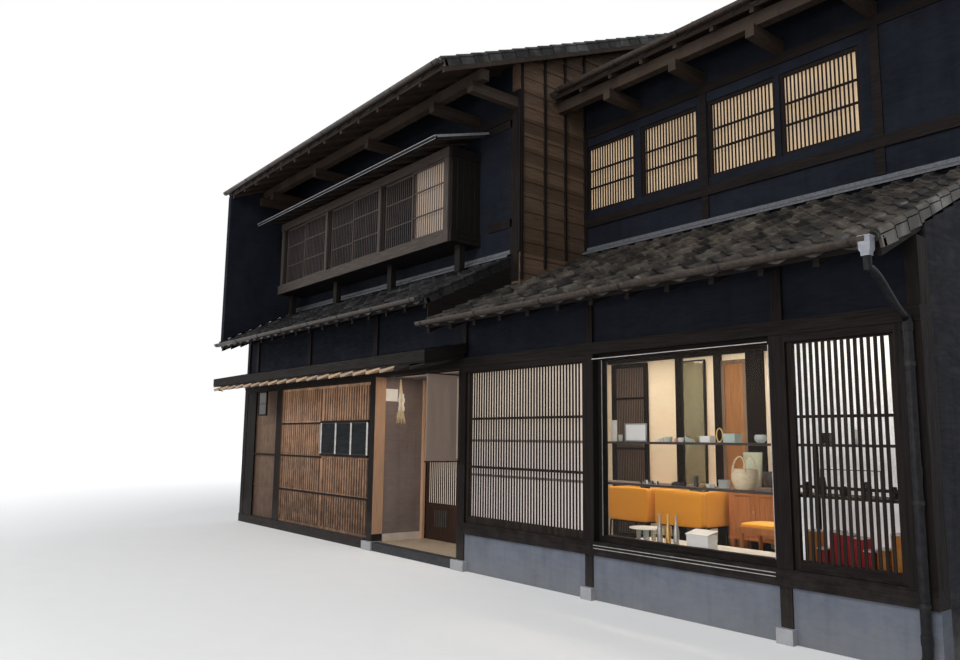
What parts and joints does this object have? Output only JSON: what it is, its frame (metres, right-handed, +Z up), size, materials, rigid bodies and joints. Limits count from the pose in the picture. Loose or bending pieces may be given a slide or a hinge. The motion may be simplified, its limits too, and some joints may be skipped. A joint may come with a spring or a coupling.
{
  "type": "machiya townhouse",
  "caption": "Two-storey timber machiya townhouse with tiled pent and gable roofs, lattice windows, a lattice bay window, a shop window and a sliding entrance door.",
  "frame": {"origin": "middle of the house's overall width and depth, at street level", "axes": "+X along the street to the right, +Y into the house, +Z up; the street front faces -Y"},
  "size_m": [11.327, 11.11, 8.3811],
  "materials": {
    "cement": "trowelled cement",
    "stone_floor": "smooth cement floor",
    "granite": "sawn granite",
    "dark_timber": "dark stained timber",
    "brown_timber": "weathered brown timber",
    "pale_timber": "bare pale timber",
    "navy_plaster": "dark blue-grey plaster",
    "cream_plaster": "smooth cream plaster",
    "mauve_plaster": "grey-mauve plaster",
    "dark_render": "dark grey render",
    "roof_tile": "smoked clay tile",
    "gutter_metal": "dark bronze paint",
    "clear_glass": "clear",
    "opal_glass": "opal white",
    "screen_paper": "matt translucent paper",
    "orange_cloth": "woven orange cloth",
    "banner_cloth": "plain woven cloth",
    "iron": "black iron"
  },
  "bodies": {
    "house": {"plinth_walls": "cement", "ground_floor": "stone_floor", "entrance_kerb": "granite", "post_footings": "cement", "front_posts": "dark_timber", "sill_beams": "dark_timber", "head_beams": "dark_timber", "front_plaster": "navy_plaster", "left_lattices": "brown_timber", "left_board_leaf": "brown_timber", "left_boarding": "brown_timber", "entrance_side_lattice": "dark_timber", "right_end_lattice": "dark_timber", "shop_window_frame": "dark_timber", "shop_window_glass": "clear_glass", "display_shelves": "brown_timber", "shop_seats": "orange_cloth", "shop_back_wall": "cream_plaster", "side_cabinet": "brown_timber", "recess_walls": "mauve_plaster", "recess_door_frame": "brown_timber", "fixed_door": "brown_timber", "board_eave": "pale_timber", "board_eave_frame": "dark_timber", "left_pent_roof": "roof_tile", "right_pent_roof": "roof_tile", "pent_rafters": "dark_timber", "left_main_roof": "roof_tile", "right_main_roof": "roof_tile", "left_eave_frame": "brown_timber", "right_eave_frame": "brown_timber", "gutters": "gutter_metal", "rain_pipe": "gutter_metal", "wing_front_wall": "navy_plaster", "wing_side_wall": "brown_timber", "range_upper_wall": "navy_plaster", "wing_upper_frame": "dark_timber", "range_upper_frame": "dark_timber", "range_lattices": "dark_timber", "bay_window_frame": "brown_timber", "bay_lattices": "brown_timber", "bay_hood": "brown_timber", "paper_screens": "screen_paper", "wing_fin_wall": "navy_plaster", "left_party_wall": "dark_render", "right_party_wall": "dark_render", "rear_walls": "dark_render", "rear_lattices": "dark_timber", "upper_floor": "brown_timber", "notice_board": "dark_timber", "hanging_sign": "brown_timber", "globe_lamp": "opal_glass", "entrance_banner": "banner_cloth", "banner_brackets": "iron"},
    "door_leaf": {"sliding_door": "brown_timber"}
  },
  "joints": [
    {"name": "entrance_door_slide", "type": "slide", "parent": "house", "child": "door_leaf", "axis": [1, 0, 0], "range_m": [0, 0.87]}
  ]
}
